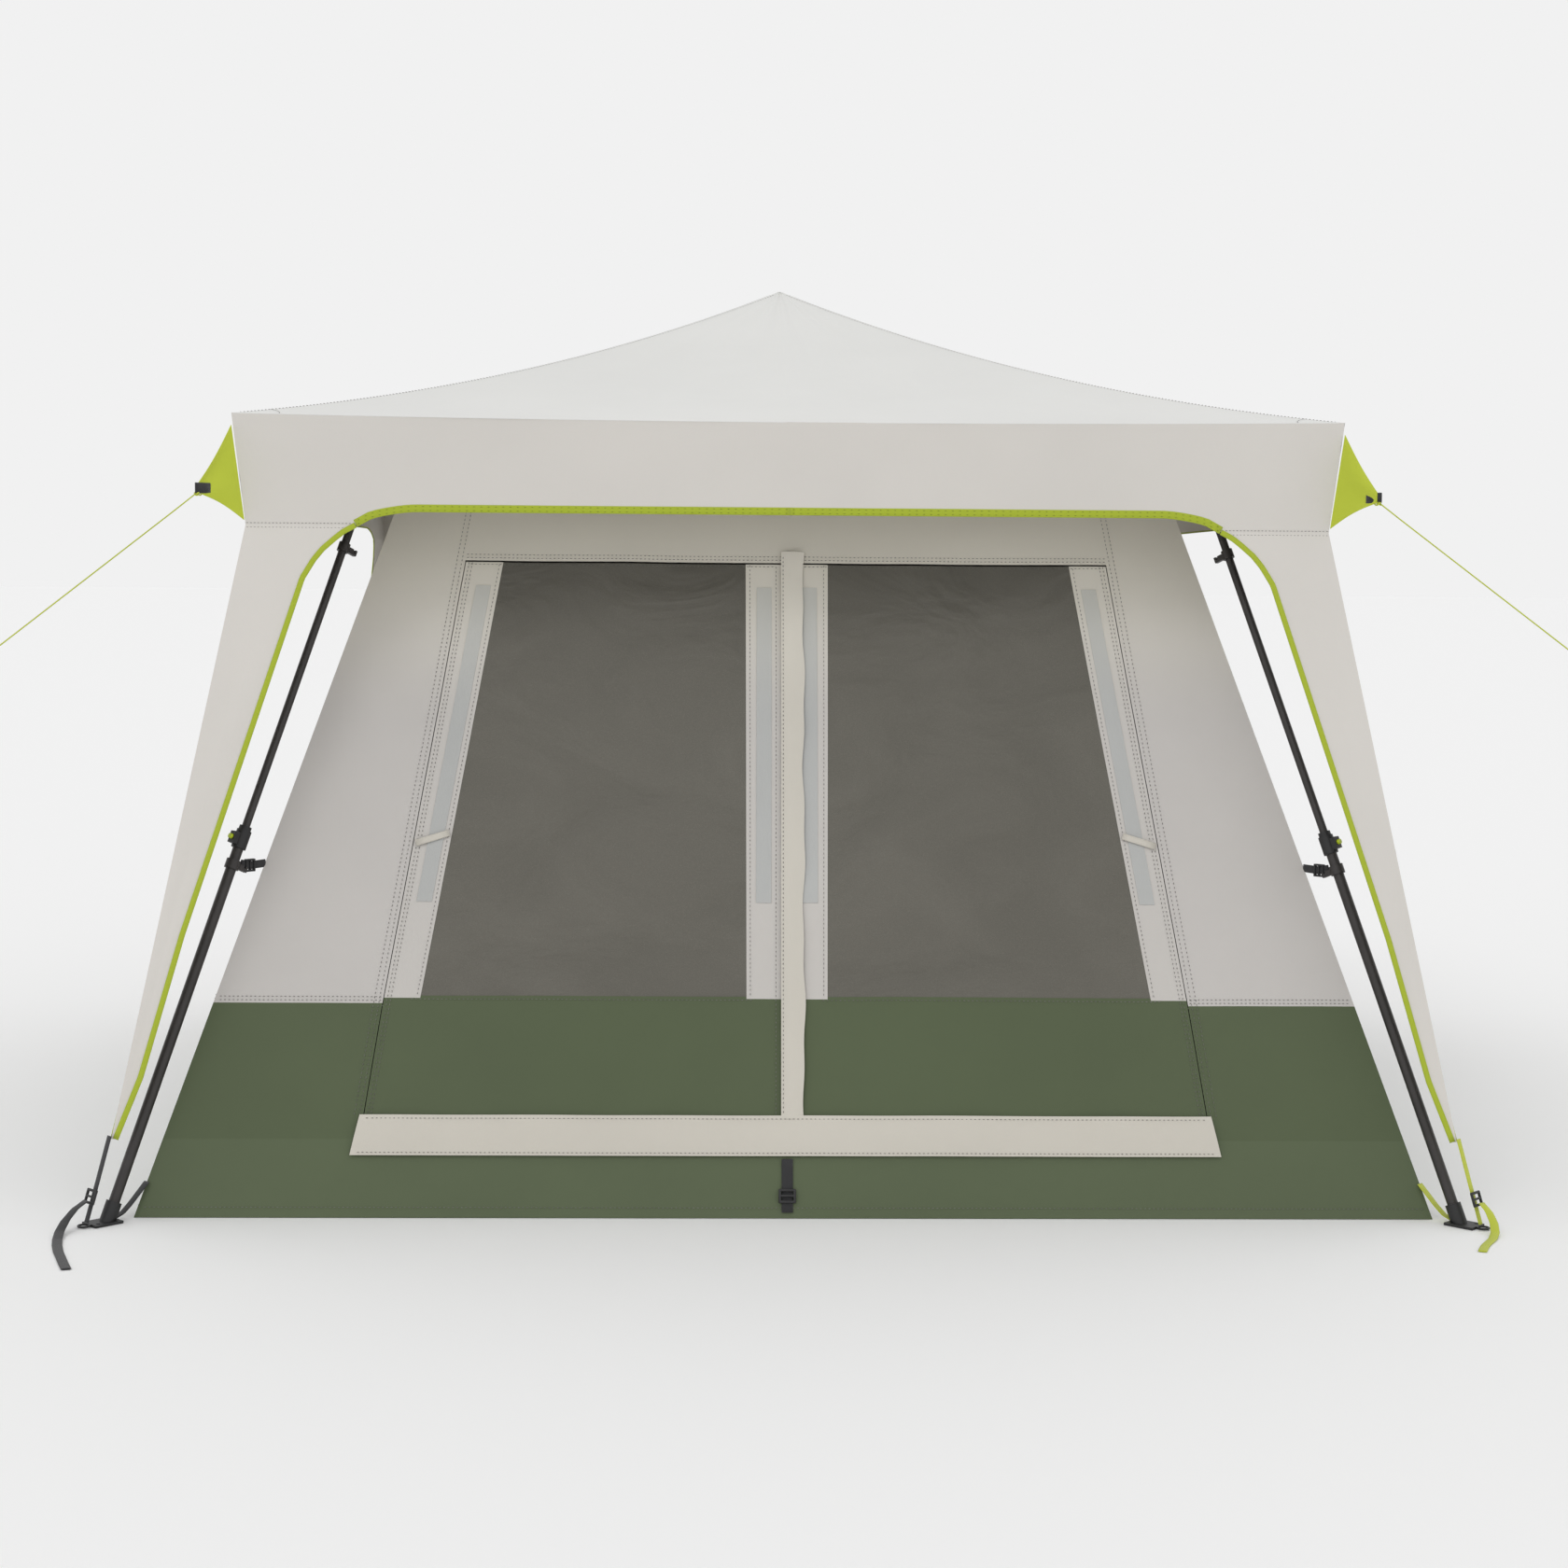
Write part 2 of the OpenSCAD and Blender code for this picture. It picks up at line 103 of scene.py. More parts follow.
LOOP_Z = 0.845                                 # height of the doors' tie-back loops
HEM_Z = 0.022
GABLE_HALF, GABLE_CORNER_Z = 0.800, 1.800      # the flat part of a wall's top, and its low end


def hip_z(x):
    """Height of the hip at a distance x from the middle: steep at the peak, flatter at the eave."""
    curve = (PEAK_SLOPE * EAVE - (APEX_Z - EAVE_Z)) / EAVE ** 2
    return APEX_Z - PEAK_SLOPE * x + curve * x * x


def turn(side):
    return Matrix.Rotation(math.radians(90 * side), 3, "Z")


def wall_edge(z):
    return WALL_HALF - LEAN * z


def wall_end(z):
    """The cloth's corner, where two outer faces meet."""
    return wall_edge(z) + 0.0022


def wall(side, x, z, out=0.0):
    """A point on a wall, seen from outside it; out is the distance off its inner plane."""
    p = Vector((x, -wall_edge(z) - out * math.cos(BETA), z + out * math.sin(BETA)))
    return turn(side) @ p


def wall_out(side):
    """The way out of a wall's face."""
    return wall(side, 0, 0, 1) - wall(side, 0, 0, 0)


def seam_x(z):
    """The door's outer seam, as a distance from the middle."""
    low, mid, top = DOOR_SEAM
    a, b = (low, mid) if z < mid[1] else (mid, top)
    return a[0] + (b[0] - a[0]) * (z - a[1]) / (b[1] - a[1])


def window_in(z):
    t = (z - WINDOW_LOW) / (WINDOW_TOP - WINDOW_LOW)
    return 0.095 + 0.005 * t


def window_out(z):
    t = (z - WINDOW_LOW) / (WINDOW_TOP - WINDOW_LOW)
    return 0.855 - 0.165 * t


def corner_of(side, half):
    return CORNERS[side if half < 0 else (side + 1) % 4]


# ---- Camera ----
LENS, CAMERA_PLACE = 60.04, (-0.165, -7.391, 1.462)
YAW, PITCH, ROLL = 0.0254, -0.0781, 0.0077     # radians


def make_camera():
    cam_data = bpy.data.cameras.new("camera")
    cam = bpy.data.objects.new("camera", cam_data)
    bpy.context.scene.collection.objects.link(cam)
    cam_data.sensor_width = 36
    cam_data.lens = LENS
    forward = Vector((math.sin(YAW) * math.cos(PITCH), math.cos(YAW) * math.cos(PITCH),
                      math.sin(PITCH)))
    turned = (-forward).to_track_quat("Z", "Y").to_matrix()
    cam.matrix_world = (turned @ Matrix.Rotation(ROLL, 3, "Z")).to_4x4()
    cam.location = CAMERA_PLACE
    bpy.context.scene.camera = cam


make_camera()


# ---- Materials ----
def new_material(name):
    m = bpy.data.materials.new(name)
    m.use_nodes = True
    nt = m.node_tree
    return m, nt, nt.nodes["Principled BSDF"]


def node(nt, kind, **values):
    n = nt.nodes.new(kind)
    for key, value in values.items():
        if key in n.inputs:
            n.inputs[key].default_value = value
        else:
            setattr(n, key, value)
    return n


def position(nt, scale=(1, 1, 1)):
    """Rest position in metres, so that a pattern runs on from piece to piece."""
    tc = nt.nodes.new("ShaderNodeTexCoord")
    mp = nt.nodes.new("ShaderNodeMapping")
    mp.inputs["Scale"].default_value = scale
    nt.links.new(tc.outputs["Object"], mp.inputs["Vector"])
    return mp.outputs["Vector"]


def ramp_node(nt, low, high, start=0.0, end=1.0):
    """A colour ramp from low to high."""
    ramp = nt.nodes.new("ShaderNodeValToRGB")
    for element, place, colour in zip(ramp.color_ramp.elements, (start, end), (low, high)):
        element.position, element.color = place, (*colour, 1)
    return ramp


def scaled(colour, factor):
    return [min(1, c * factor) for c in colour]


def fabric(name, colour, crease, mottle, high=None):
    """Coated cloth: a fine weave, soft mottling and shallow creases.

    high is its colour near the canopy: painted light that stands in for daylight coming through the
    roof.
    """
    m, nt, bsdf = new_material(name)
    link = nt.links.new
    soft = node(nt, "ShaderNodeTexNoise", Scale=2.2, Detail=5.0, Roughness=0.55)
    link(position(nt), soft.inputs["Vector"])
    ramp = ramp_node(nt, scaled(colour, 1 - mottle), scaled(colour, 1 + mottle), 0.3, 0.7)
    link(soft.outputs["Fac"], ramp.inputs["Fac"])
    base = ramp.outputs["Color"]
    # Painted light: the colour turns towards high higher up, standing in for daylight through the
    # roof.
    if high:
        split = nt.nodes.new("ShaderNodeSeparateXYZ")
        link(position(nt), split.inputs["Vector"])
        rise = node(nt, "ShaderNodeMapRange", interpolation_type="SMOOTHSTEP")
        rise.inputs["From Min"].default_value, rise.inputs["From Max"].default_value = PAINTED_LIGHT_Z
        link(split.outputs["Z"], rise.inputs["Value"])
        painted_light_mix = nt.nodes.new("ShaderNodeMix")
        painted_light_mix.data_type = "RGBA"
        link(rise.outputs["Result"], painted_light_mix.inputs[0])
        link(base, painted_light_mix.inputs[6])
        painted_light_mix.inputs[7].default_value = (*high, 1)
        base = painted_light_mix.outputs[2]
    fine = node(nt, "ShaderNodeTexNoise", Scale=900.0, Detail=2.0)
    link(position(nt), fine.inputs["Vector"])
    mix = nt.nodes.new("ShaderNodeMix")
    mix.data_type, mix.blend_type = "RGBA", "MULTIPLY"
    mix.inputs[0].default_value = 0.10
    link(base, mix.inputs[6])
    link(fine.outputs["Color"], mix.inputs[7])
    link(mix.outputs[2], bsdf.inputs["Base Color"])
    creases = node(nt, "ShaderNodeTexNoise", Scale=5.0, Detail=6.0, Distortion=1.2)
    link(position(nt, (1, 1, 0.6)), creases.inputs["Vector"])
    bump = node(nt, "ShaderNodeBump", Strength=crease, Distance=0.012)
    link(creases.outputs["Fac"], bump.inputs["Height"])
    threads = node(nt, "ShaderNodeTexVoronoi", Scale=1300.0)
    link(position(nt), threads.inputs["Vector"])
    top = node(nt, "ShaderNodeBump", Strength=0.05, Distance=0.0006)
    link(threads.outputs["Distance"], top.inputs["Height"])
    link(bump.outputs["Normal"], top.inputs["Normal"])
    link(top.outputs["Normal"], bsdf.inputs["Normal"])
    bsdf.inputs["Roughness"].default_value = 0.62
    bsdf.inputs["Sheen Weight"].default_value = 0.15
    return m


def webbing(name, colour):
    """Woven tape: ribs across its width."""
    m, nt, bsdf = new_material(name)
    link = nt.links.new
    wave = node(nt, "ShaderNodeTexWave", Scale=180.0, Distortion=1.0)
    wave.bands_direction = "DIAGONAL"
    link(position(nt), wave.inputs["Vector"])
    bump = node(nt, "ShaderNodeBump", Strength=0.5, Distance=0.001)
    link(wave.outputs["Fac"], bump.inputs["Height"])
    link(bump.outputs["Normal"], bsdf.inputs["Normal"])
    ramp = ramp_node(nt, scaled(colour, 0.82), colour)
    link(wave.outputs["Fac"], ramp.inputs["Fac"])
    link(ramp.outputs["Color"], bsdf.inputs["Base Color"])
    bsdf.inputs["Roughness"].default_value = 0.75
    bsdf.inputs["Sheen Weight"].default_value = 0.2
    return m


def hard(name, colour, rough, metallic=0.0, grain=0.12, scale=260.0):
    """Moulded plastic or powder coat, with a fine grain and slight wear."""
    m, nt, bsdf = new_material(name)
    link = nt.links.new
    grit = node(nt, "ShaderNodeTexNoise", Scale=scale, Detail=3.0)
    link(position(nt), grit.inputs["Vector"])
    bump = node(nt, "ShaderNodeBump", Strength=grain, Distance=0.0008)
    link(grit.outputs["Fac"], bump.inputs["Height"])
    link(bump.outputs["Normal"], bsdf.inputs["Normal"])
    worn = node(nt, "ShaderNodeTexNoise", Scale=14.0, Detail=6.0)
    link(position(nt), worn.inputs["Vector"])
    ramp = ramp_node(nt, scaled(colour, 0.88), scaled(colour, 1.18), 0.35, 0.75)
    link(worn.outputs["Fac"], ramp.inputs["Fac"])
    link(ramp.outputs["Color"], bsdf.inputs["Base Color"])
    bsdf.inputs["Roughness"].default_value = rough
    bsdf.inputs["Metallic"].default_value = metallic
    return m


def mesh_cloth(name, colour):
    """Insect mesh: a fine dark grain with soft folds, with painted shade in their hollows and
    painted light on their ridges. It is opaque.
    """
    m, nt, bsdf = new_material(name)
    link = nt.links.new
    threads = node(nt, "ShaderNodeTexVoronoi", Scale=650.0)
    link(position(nt), threads.inputs["Vector"])
    ramp = ramp_node(nt, scaled(colour, 0.72), scaled(colour, 1.15))
    link(threads.outputs["Distance"], ramp.inputs["Fac"])
    folds = node(nt, "ShaderNodeTexNoise", Scale=3.5, Detail=3.5, Distortion=0.9)
    link(position(nt, (0.8, 0.8, 1.3)), folds.inputs["Vector"])
    # Painted shade in the folds' hollows and painted light on their ridges, following the bump's
    # noise.
    painted_fold_light = ramp_node(nt, (0.87, 0.87, 0.86), (1, 1, 1), 0.35, 0.68)
    link(folds.outputs["Fac"], painted_fold_light.inputs["Fac"])
    mix = nt.nodes.new("ShaderNodeMix")
    mix.data_type, mix.blend_type = "RGBA", "MULTIPLY"
    mix.inputs[0].default_value = 1.0
    link(ramp.outputs["Color"], mix.inputs[6])
    link(painted_fold_light.outputs["Color"], mix.inputs[7])
    link(mix.outputs[2], bsdf.inputs["Base Color"])
    bump = node(nt, "ShaderNodeBump", Strength=0.5, Distance=0.05)
    link(folds.outputs["Fac"], bump.inputs["Height"])
    link(bump.outputs["Normal"], bsdf.inputs["Normal"])
    bsdf.inputs["Roughness"].default_value = 0.6
    bsdf.inputs["Sheen Weight"].default_value = 0.25
    return m


def linear(r, g, b):
    """Display colour, 0 to 255, to linear."""
    def one(c):
        c /= 255
        return c / 12.92 if c <= 0.04045 else ((c + 0.055) / 1.055) ** 2.4
    return one(r), one(g), one(b)


PAINTED_LIGHT_Z = (1.10, 1.60)                          # heights between which the walls are painted paler: painted light from the roof
ROOF = fabric("roof_cloth", linear(226, 226, 223), crease=0.10, mottle=0.02)
FASCIA = fabric("fascia_cloth", linear(216, 212, 206), crease=0.12, mottle=0.02)
# Painted light near the canopy, for the walls and the door bands.
PAINTED_ROOF_LIGHT = linear(232, 227, 213)
WALL = fabric("wall_cloth", linear(200, 196, 192), crease=0.14, mottle=0.03, high=PAINTED_ROOF_LIGHT)
BAND = fabric("band_cloth", linear(202, 198, 193), crease=0.2, mottle=0.03, high=PAINTED_ROOF_LIGHT)
# Its high colour is painted light from the roof.
TAPE = fabric("pale_strip", linear(184, 185, 183), crease=0.2, mottle=0.05,
              high=linear(212, 211, 202))
SKIRT = fabric("skirt_cloth", linear(79, 91, 60), crease=0.16, mottle=0.05)
LOW_SKIRT = fabric("low_skirt_cloth", linear(84, 96, 66), crease=0.16, mottle=0.05)
# Its high colour is painted light from the roof.
FLAP = fabric("flap_cloth", linear(208, 203, 192), crease=0.25, mottle=0.03,
              high=linear(238, 233, 220))
LIME = fabric("lime_cloth", linear(190, 203, 48), crease=0.15, mottle=0.04)
BINDING = webbing("lime_binding", linear(176, 192, 42))
LIME_WEB = webbing("lime_webbing", linear(196, 206, 52))
BLACK_WEB = webbing("black_webbing", linear(44, 44, 46))
MESH = mesh_cloth("insect_mesh", linear(101, 98, 89))
THREAD = hard("grey_thread", linear(120, 118, 114), 0.8)
LIME_THREAD = hard("dark_lime_thread", linear(104, 116, 26), 0.8)
POLE = hard("powder_coat", linear(58, 55, 54), 0.42, 0.25, 0.06, 500.0)
PLASTIC = hard("black_nylon", linear(34, 34, 35), 0.5)
LIME_PLASTIC = hard("lime_button", linear(186, 205, 40), 0.35)
ZIP = hard("zip_metal", linear(60, 60, 62), 0.35, 0.8)


# ---- Mesh building ----
def link_mesh(name, verts, faces, material, smooth=True):
    mesh = bpy.data.meshes.new(name)
    mesh.from_pydata([tuple(v) for v in verts], [], faces)
    mesh.update()
    bm = bmesh.new()
    bm.from_mesh(mesh)
    bmesh.ops.recalc_face_normals(bm, faces=bm.faces)
    bm.to_mesh(mesh)
    bm.free()
    for p in mesh.polygons:
        p.use_smooth = smooth
    mesh.materials.append(material)
    obj = bpy.data.objects.new(name, mesh)
    bpy.context.scene.collection.objects.link(obj)
    return obj


def sheet_mesh(name, f, nu, nv, material, thick=0.0012):
    """A closed thin sheet from f(u, v) -> (point, outward normal), u and v from 0 to 1."""
    verts = []
    for depth in (0.0, thick):
        for i in range(nu + 1):
            for j in range(nv + 1):
                p, n = f(i / nu, j / nv)
                verts.append(p - n * depth)
    count = (nu + 1) * (nv + 1)

    def at(i, j, k=0):
        return k * count + i * (nv + 1) + j
    faces = []
    for i in range(nu):
        for j in range(nv):
            faces.append((at(i, j), at(i + 1, j), at(i + 1, j + 1), at(i, j + 1)))
            faces.append((at(i, j, 1), at(i, j + 1, 1), at(i + 1, j + 1, 1), at(i + 1, j, 1)))
    for i in range(nu):
        for j in (0, nv):
            faces.append((at(i, j), at(i + 1, j), at(i + 1, j, 1), at(i, j, 1)))
    for j in range(nv):
        for i in (0, nu):
            faces.append((at(i, j), at(i, j + 1), at(i, j + 1, 1), at(i, j, 1)))
    obj = link_mesh(name, verts, faces, material)
    edge = obj.modifiers.new("crisp edges", "EDGE_SPLIT")
    edge.split_angle = math.radians(50)
    return obj


def tube_mesh(name, points, radius, material, sides=8, flat=1.0, across=None):
    """A tube along points; flat under 1 thins it across its second axis."""
    pts = [Vector(p) for p in points]
    verts, faces = [], []
    for i, p in enumerate(pts):
        d = (pts[min(i + 1, len(pts) - 1)] - pts[max(i - 1, 0)]).normalized()
        side = Vector(across) if across else d.cross(Vector((0, 0, 1)))
        side = (side - d * side.dot(d)).normalized()
        rise = side.cross(d)
        for a in range(sides):
            t = 2 * math.pi * a / sides
            verts.append(p + side * math.cos(t) * radius + rise * math.sin(t) * radius * flat)
    for i in range(len(pts) - 1):
        for a in range(sides):
            b = (a + 1) % sides
            faces.append((i * sides + a, i * sides + b, (i + 1) * sides + b, (i + 1) * sides + a))
    faces.append(tuple(range(sides)))
    faces.append(tuple(range((len(pts) - 1) * sides, len(pts) * sides)))
    return link_mesh(name, verts, faces, material)


def resample(points, step):
    pts = [Vector(p) for p in points]
    out, carry = [pts[0].copy()], 0.0
    for a, b in zip(pts, pts[1:]):
        length = (b - a).length
        at = step - carry
        while at <= length:
            out.append(a.lerp(b, at / length))
            at += step
        carry = length - (at - step)
    if (out[-1] - pts[-1]).length > step * 0.2:
        out.append(pts[-1].copy())
    return out


def strip_mesh(name, points, normals, width, thick, material):
    """A flat tape along points, facing the normals, with rounded edges."""
    profile = [(-0.5, 0.0), (-0.5, 0.55), (-0.42, 0.95), (0.0, 1.0),
               (0.42, 0.95), (0.5, 0.55), (0.5, 0.0)]
    verts, faces, m = [], [], len(profile)
    for i, p in enumerate(points):
        d = (points[min(i + 1, len(points) - 1)] - points[max(i - 1, 0)]).normalized()
        n = (normals[i] - d * normals[i].dot(d)).normalized()
        side = d.cross(n)
        for a, b in profile:
            verts.append(p + side * a * width + n * b * thick)
    for i in range(len(points) - 1):
        for a in range(m):
            b = (a + 1) % m
            faces.append((i * m + a, i * m + b, (i + 1) * m + b, (i + 1) * m + a))
    faces.append(tuple(range(m)))
    faces.append(tuple(range((len(points) - 1) * m, len(points) * m)))
    return link_mesh(name, verts, faces, material)


STITCH_PITCH = 0.0095                           # from one stitch to the next


def stitch_mesh(name, rows, material, length=0.006, radius=0.0008):
    """Rows of stitches, each row (points, normals): every stitch is a small lozenge."""
    verts, faces = [], []
    for points, normals in rows:
        for k in range(len(points) - 1):
            a, b, n = points[k], points[k + 1], normals[k]
            run = (b - a).length
            count = max(1, int(run / STITCH_PITCH))
            d = (b - a).normalized()
            side = d.cross(n).normalized()
            for i in range(count):
                c = a + d * (i + 0.5) * run / count
                base = len(verts)
                half = length / 2
                verts += [c - d * half, c + side * radius, c + d * half, c - side * radius,
                          c + n * radius * 1.4, c - n * radius * 0.4]
                faces += [(base, base + 1, base + 4), (base + 1, base + 2, base + 4),
                          (base + 2, base + 3, base + 4), (base + 3, base, base + 4),
                          (base + 1, base, base + 5), (base + 2, base + 1, base + 5),
                          (base + 3, base + 2, base + 5), (base, base + 3, base + 5)]
    return link_mesh(name, verts, faces, material, smooth=False)


def ripple(p, size, depth, seed=0.0):
    return depth * noise.noise(Vector((p.x / size + seed, p.y / size, p.z / size)))


# ---- Riding on the frame ----
def radial(corner):
    a = math.radians(AZIMUTH[CORNERS.index(corner)])
    return Vector((math.cos(a), math.sin(a), 0))


def sideways(corner):
    """Level, at right angles to the corner's own direction."""
    r = radial(corner)
    return Vector((-r.y, r.x, 0))


def on_arm(obj, corner, *nodes):
    """Cloth of the canopy: it rides on its roof arm."""
    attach(obj, "arm_" + corner)
    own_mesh(obj)
    if nodes:
        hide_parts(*nodes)
    return obj


def on_wall(obj, side, half, body=None, nodes=()):
    """Cloth of a half wall: it rides on its upper leg, or on the body given."""
    corner = corner_of(side, half)
    edge = turn(side) @ Vector((-half * LEAN, LEAN, 1))
    edge.normalize()
    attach(obj, body or "upper_leg_" + corner)
    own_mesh(obj)
    if nodes:
        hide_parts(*nodes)
    return obj


def on_wing(obj, corner, *nodes):
    """Cloth of a corner wing: it is fixed where it is built and rides on no arm or leg."""
    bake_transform(obj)
    if nodes:
        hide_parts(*nodes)
    return obj


# ---- Roof ----
EAVE_SAG = 0.010


def roof_point(side, x_share, u):
    """A point on the roof's outer face: u from peak 0 to eave 1, x_share from -1 to 1 across."""
    x = u * EAVE
    z = hip_z(x) - EAVE_SAG * u * (1 - x_share ** 2)
    belly = 0.012 * math.sin(math.pi * u) * (1 - x_share ** 2)
    p = Vector((x_share * x, -x, z - belly))
    fine = ripple(Vector((x_share * 9, u * 1.5, side * 7.0)), 1.0, 0.0035)
    fine *= math.sin(math.pi * u) ** 0.7
    near_peak = math.exp(-((u - 0.12) / 0.16) ** 2)
    fine += 0.002 * math.sin(x_share * 22 + side) * near_peak * (1 - x_share ** 2)
    broad = ripple(Vector((x_share * 2.2, u * 5.0, side * 3.0 + 11)), 1.0, 0.004)
    broad *= math.sin(math.pi * u)
    edge = 1 - abs(x_share) ** 6
    p.z += (fine + broad) * edge
    return turn(side) @ p


def make_roof():
    panels = ("roof_front", "roof_right", "roof_rear", "roof_left")
    for side, panel in enumerate(panels):
        for half in (-1, 1):
            corner = corner_of(side, half)

            def face(u, v):
                s = half * v
                w = 0.004 + 0.996 * u
                p = roof_point(side, s, w)
                a = (roof_point(side, min(1, s + 0.01), w)
                     - roof_point(side, max(-1, s - 0.01), w))
                b = (roof_point(side, s, min(1, w + 0.01))
                     - roof_point(side, s, max(0.001, w - 0.01)))
                n = a.cross(b)
                return p, (n if n.z > 0 else -n).normalized()
            piece = sheet_mesh(f"{panel}_{corner}_cloth", face, 60, 46, ROOF)
            on_arm(piece, corner, panel)
            # The felled seam along the hip.
            points = [roof_point(side, half * 0.999, 0.02 + 0.97 * i / 60)
                      + Vector((0, 0, 0.0008)) for i in range(61)]
            inward = [p + (turn(side) @ Vector((-half * 0.010, 0, 0))) for p in points]
            normals = [Vector((0, 0, 1))] * len(points)
            row = stitch_mesh(f"{panel}_{corner}_hip_stitch", [(inward, normals)], THREAD)
            on_arm(row, corner)
            # The curved pocket patch that takes the strut's tip.
            arc = []
            for i in range(25):
                t = math.pi / 2 * i / 24
                arc.append((1 - 0.085 * math.sin(t), 1 - 0.075 * math.cos(t)))
            track = [roof_point(side, half * min(0.999, s / max(w, 0.01)), w)
                     + Vector((0, 0, 0.0012)) for s, w in arc if s <= w]
            if len(track) > 3:
                pocket = stitch_mesh(f"{panel}_{corner}_pocket_stitch",
                                     [(track, [Vector((0, 0, 1))] * len(track))], THREAD)
                on_arm(pocket, corner)


make_roof()


# ---- Fascia ----
# Its lower edge is level to FLAT_HALF, bends down by DIP at BEND, and meets the wing at STEP.
FLAT_HALF, BEND, STEP, DIP = 0.867, 0.972, 1.010, 0.016


def fascia_low(x):
    """Height of the fascia's lower edge at a distance x from its middle."""
    if x <= FLAT_HALF:
        return FASCIA_Z
    if x <= BEND:
        return FASCIA_Z - DIP * ((x - FLAT_HALF) / (BEND - FLAT_HALF)) ** 1.6
    return FASCIA_Z - DIP + (SEAM_Z - FASCIA_Z + DIP) * min(1, (x - BEND) / (STEP - BEND))


def fascia_point(side, x_share, t, out=0.0):
    """t from the eave 0 to the lower edge 1."""
    x = abs(x_share)
    top = EAVE_Z - EAVE_SAG * (1 - x * x)
    low = fascia_low(x * WING_TOP)
    z = top + (low - top) * t
    lean = (EAVE_Z - z) / (EAVE_Z - SEAM_Z)
    half = EAVE + (WING_TOP - EAVE) * lean
    wave = (ripple(Vector((x_share * 4.5, z * 3.0, side * 5.0)), 1.0, 0.007)
            + ripple(Vector((x_share * 14, z * 8.0, side * 5.0)), 1.0, 0.0018))
    wave *= math.sin(math.pi * min(1, x * 0.5 + 0.5)) * (0.3 + 0.7 * math.sin(math.pi * t))
    return turn(side) @ Vector((x_share * half, -half - out - wave, z))


def make_fascia():
    for side in range(4):
        for half in (-1, 1):
            corner = corner_of(side, half)
            outward = turn(side) @ Vector((0, -1, 0))

            def face(u, v):
                return fascia_point(side, half * u, v), outward
            piece = sheet_mesh(f"fascia_{side}_{corner}_cloth", face, 80, 18, FASCIA)
            on_arm(piece, corner, "fascia")
            share = STEP / WING_TOP
            points = [fascia_point(side, half * share * i / 60, 1.0, 0.0006) for i in range(61)]
            points = [p + Vector((0, 0, 0.004)) for p in points]
            normals = [outward] * len(points)
            bind = strip_mesh(f"fascia_{side}_{corner}_binding", points, normals, 0.018, 0.0022,
                              BINDING)
            on_arm(bind, corner)
            rows = [([p + Vector((0, 0, dz)) + outward * 0.0024 for p in points], normals)
                    for dz in (-0.0045, 0.0045)]
            thread = stitch_mesh(f"fascia_{side}_{corner}_binding_stitch", rows, LIME_THREAD)
            on_arm(thread, corner)


make_fascia()


# ---- Corner wings ----
WING_IN = ((STEP, 0.0), (1.036, 0.010), (1.057, 0.022), (1.085, 0.040), (1.105, 0.058),
           (1.130, 0.0885), (1.383, 0.6727), (1.468, 0.902), (TIP - 0.010, 1.0))


def wing_inner(t):
    """Distance of the wing's inner edge from the middle, t from the seam 0 to the tip 1."""
    for (x0, t0), (x1, t1) in zip(WING_IN, WING_IN[1:]):
        if t <= t1:
            return x0 + (x1 - x0) * (t - t0) / (t1 - t0)
    return WING_IN[-1][0]


def wing_point(side, half, s, t, out=0.0):
    """s from the inner edge 0 to the corner 1."""
    z = SEAM_Z + (TIP_Z - SEAM_Z) * t
    outer = WING_TOP + (TIP - WING_TOP) * t
    inner = wing_inner(t)
    x = inner + (outer - inner) * s
    wave = ripple(Vector((s * 2.0, t * 4.0, side * 3 + half)), 1.0, 0.006)
    wave *= math.sin(math.pi * min(t * 1.1, 1))
    return turn(side) @ Vector((half * x, -outer - out - wave * math.sin(math.pi * s), z))


def make_wings():
    for side in range(4):
        for half in (-1, 1):
            corner = corner_of(side, half)
            outward = turn(side) @ Vector((0, -1, 0.18)).normalized()

            def face(u, v):
                return wing_point(side, half, v, u), outward
            piece = sheet_mesh(f"wing_{side}_{corner}_cloth", face, 120, 12, FASCIA)
            on_wing(piece, corner, "corner_wings")
            steps = 110
            points = [wing_point(side, half, 0.0, (i / steps) ** 1.35, 0.0006)
                      for i in range(steps + 1)]
            normals = [outward] * len(points)
            bind = strip_mesh(f"wing_{side}_{corner}_binding", points, normals, 0.013, 0.0022,
                              BINDING)
            on_wing(bind, corner)
            seam = []
            for dz in (0.004, -0.006):
                line = [wing_point(side, half, i / 30, 0.0, 0.001) + Vector((0, 0, dz))
                        for i in range(1, 31)]
                seam.append((line, [outward] * len(line)))
            thread = stitch_mesh(f"wing_{side}_{corner}_seam_stitch", seam, THREAD)
            on_wing(thread, corner)


make_wings()


# ---- Walls ----
def wall_wave(side, x, z):
    """How far the cloth stands out of its plane."""
    slack = math.sin(math.pi * min(1, max(0, z / WALL_TOP))) ** 0.5
    across = 1 - min(1, abs(x) / wall_edge(z)) ** 8
    return (ripple(Vector((x * 1.6, z * 1.4, side * 9.0)), 1.0, 0.012)
            + ripple(Vector((x * 5.5 + z * 2, z * 2.2, side * 4.0)), 1.0, 0.0055)
            + ripple(Vector((x * 9 - z * 7, z * 13, side * 4.0 + 3)), 1.0, 0.0016)) * slack * across


def wall_sheet(name, side, half, low, high, inner, outer, material, out=0.002, nu=40, nv=30):
    """Part of a wall between two heights; inner(z) and outer(z) are distances from the middle."""
    outward = wall_out(side)

    def face(u, v):
        z = low + (high - low) * v
        x = half * (inner(z) + (outer(z) - inner(z)) * u)
        return wall(side, x, z, out + wall_wave(side, x, z)), outward
    return sheet_mesh(name, face, nu, nv, material)


def wall_line(side, points, out):
    """Points [x, z] on the wall's cloth, resampled every 3 cm."""
    flat = resample([Vector((x, 0, z)) for x, z in points], 0.03)
    return [wall(side, p.x, p.z, out + wall_wave(side, p.x, p.z)) for p in flat]


BIG_STITCH = {"length": 0.0065, "radius": 0.0010}


